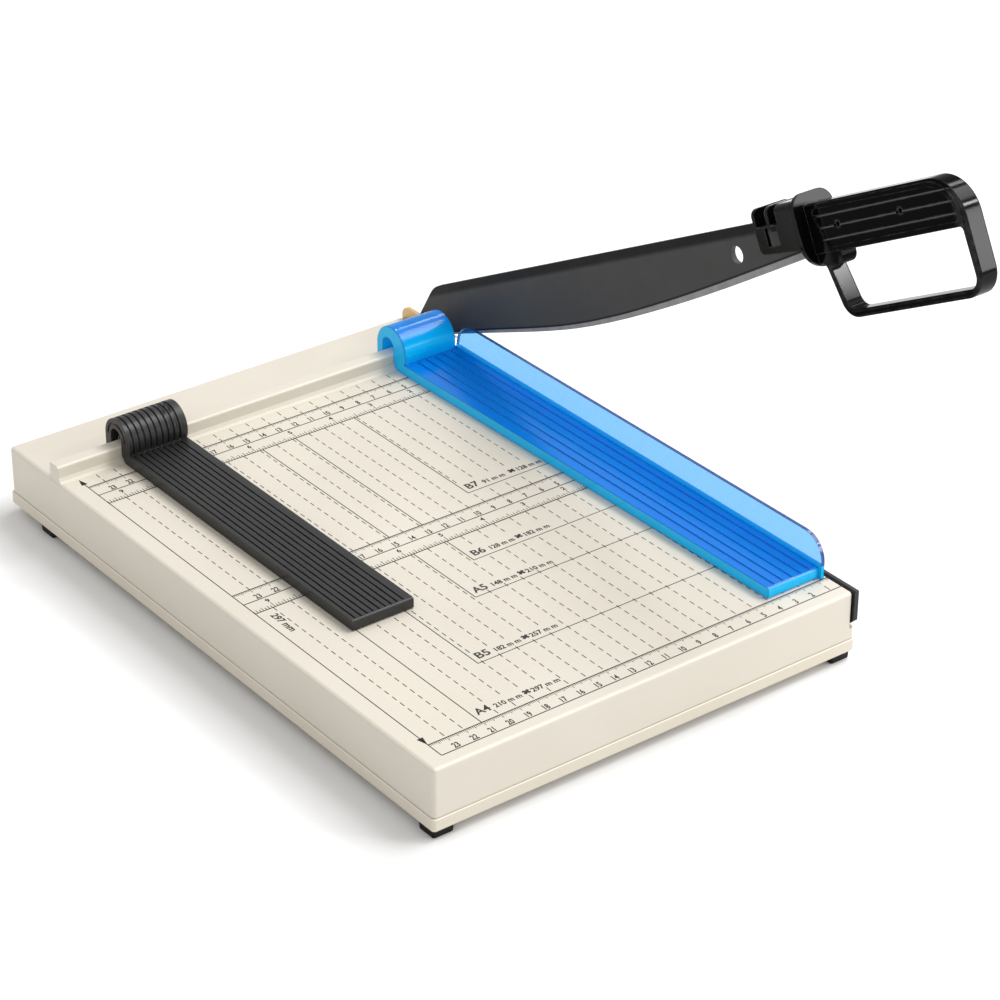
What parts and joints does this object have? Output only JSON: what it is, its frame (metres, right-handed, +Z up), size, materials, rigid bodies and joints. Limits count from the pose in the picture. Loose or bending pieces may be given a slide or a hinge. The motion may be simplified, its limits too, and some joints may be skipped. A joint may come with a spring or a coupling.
{
  "type": "guillotine paper cutter",
  "caption": "Desktop guillotine paper cutter: flat base with side knife, lever blade with D-handle, sliding paper stop and a hinged clear hold-down guard.",
  "frame": {"origin": "centre of the whole object's box, on the table under the rubber feet", "axes": "+X to the right, towards the blade; +Y to the rear, from the handle end to the fence; +Z up"},
  "size_m": [0.2698, 0.4339, 0.2638],
  "materials": {
    "cream_plastic": "satin moulded ABS",
    "cream_plastic_lower": "satin moulded ABS",
    "black_rubber": "matt",
    "zinc_steel": "bright zinc plated",
    "blackened_knife_steel": "blackened, ground top edge",
    "yellow_zinc_steel": "yellow passivated zinc",
    "black_screw_steel": "black oxide",
    "white_nylon": "smooth",
    "spring_steel": "bright drawn wire",
    "black_blade_steel": "satin black coat",
    "black_gloss_plastic": "gloss moulded",
    "charcoal_plastic": "satin moulded",
    "grey_felt": "pressed felt",
    "clear_blue_plastic": "clear tinted acrylic, polished"
  },
  "bodies": {
    "base": {"base_shell": "cream_plastic", "bottom_tray": "cream_plastic_lower", "rubber_feet": "black_rubber", "tray_screws": "zinc_steel", "foot_screws": "zinc_steel", "foot_nuts": "zinc_steel", "ledger_knife": "blackened_knife_steel", "pivot_bracket": "yellow_zinc_steel", "ledger_screws": "black_screw_steel", "bracket_screws": "black_screw_steel", "side_nuts": "zinc_steel", "pivot_bolt": "zinc_steel", "blade_washer": "white_nylon", "pivot_spring": "spring_steel", "spring_cup": "zinc_steel", "lock_nut": "zinc_steel"},
    "blade_lever": {"blade": "black_blade_steel", "blade_handle": "black_gloss_plastic", "handle_rivets": "black_screw_steel", "blade_saddle": "black_gloss_plastic"},
    "stop": {"paper_stop": "charcoal_plastic", "stop_felt": "grey_felt"},
    "guard": {"paper_guard": "clear_blue_plastic"}
  },
  "joints": [
    {"name": "blade_pivot", "type": "hinge", "parent": "base", "child": "blade_lever", "pos_m": [0.1177, 0.1921, 0.0236], "axis": [-1, 0, 0], "range_deg": [-27.6, 38]},
    {"name": "stop_slide", "type": "slide", "parent": "base", "child": "stop", "axis": [1, 0, 0], "range_m": [-0.037, 0.1345]},
    {"name": "guard_lift", "type": "hinge", "parent": "base", "child": "guard", "pos_m": [0.0919, 0.1721, 0.0493], "axis": [-1, 0, 0], "range_deg": [0, 8]}
  ]
}
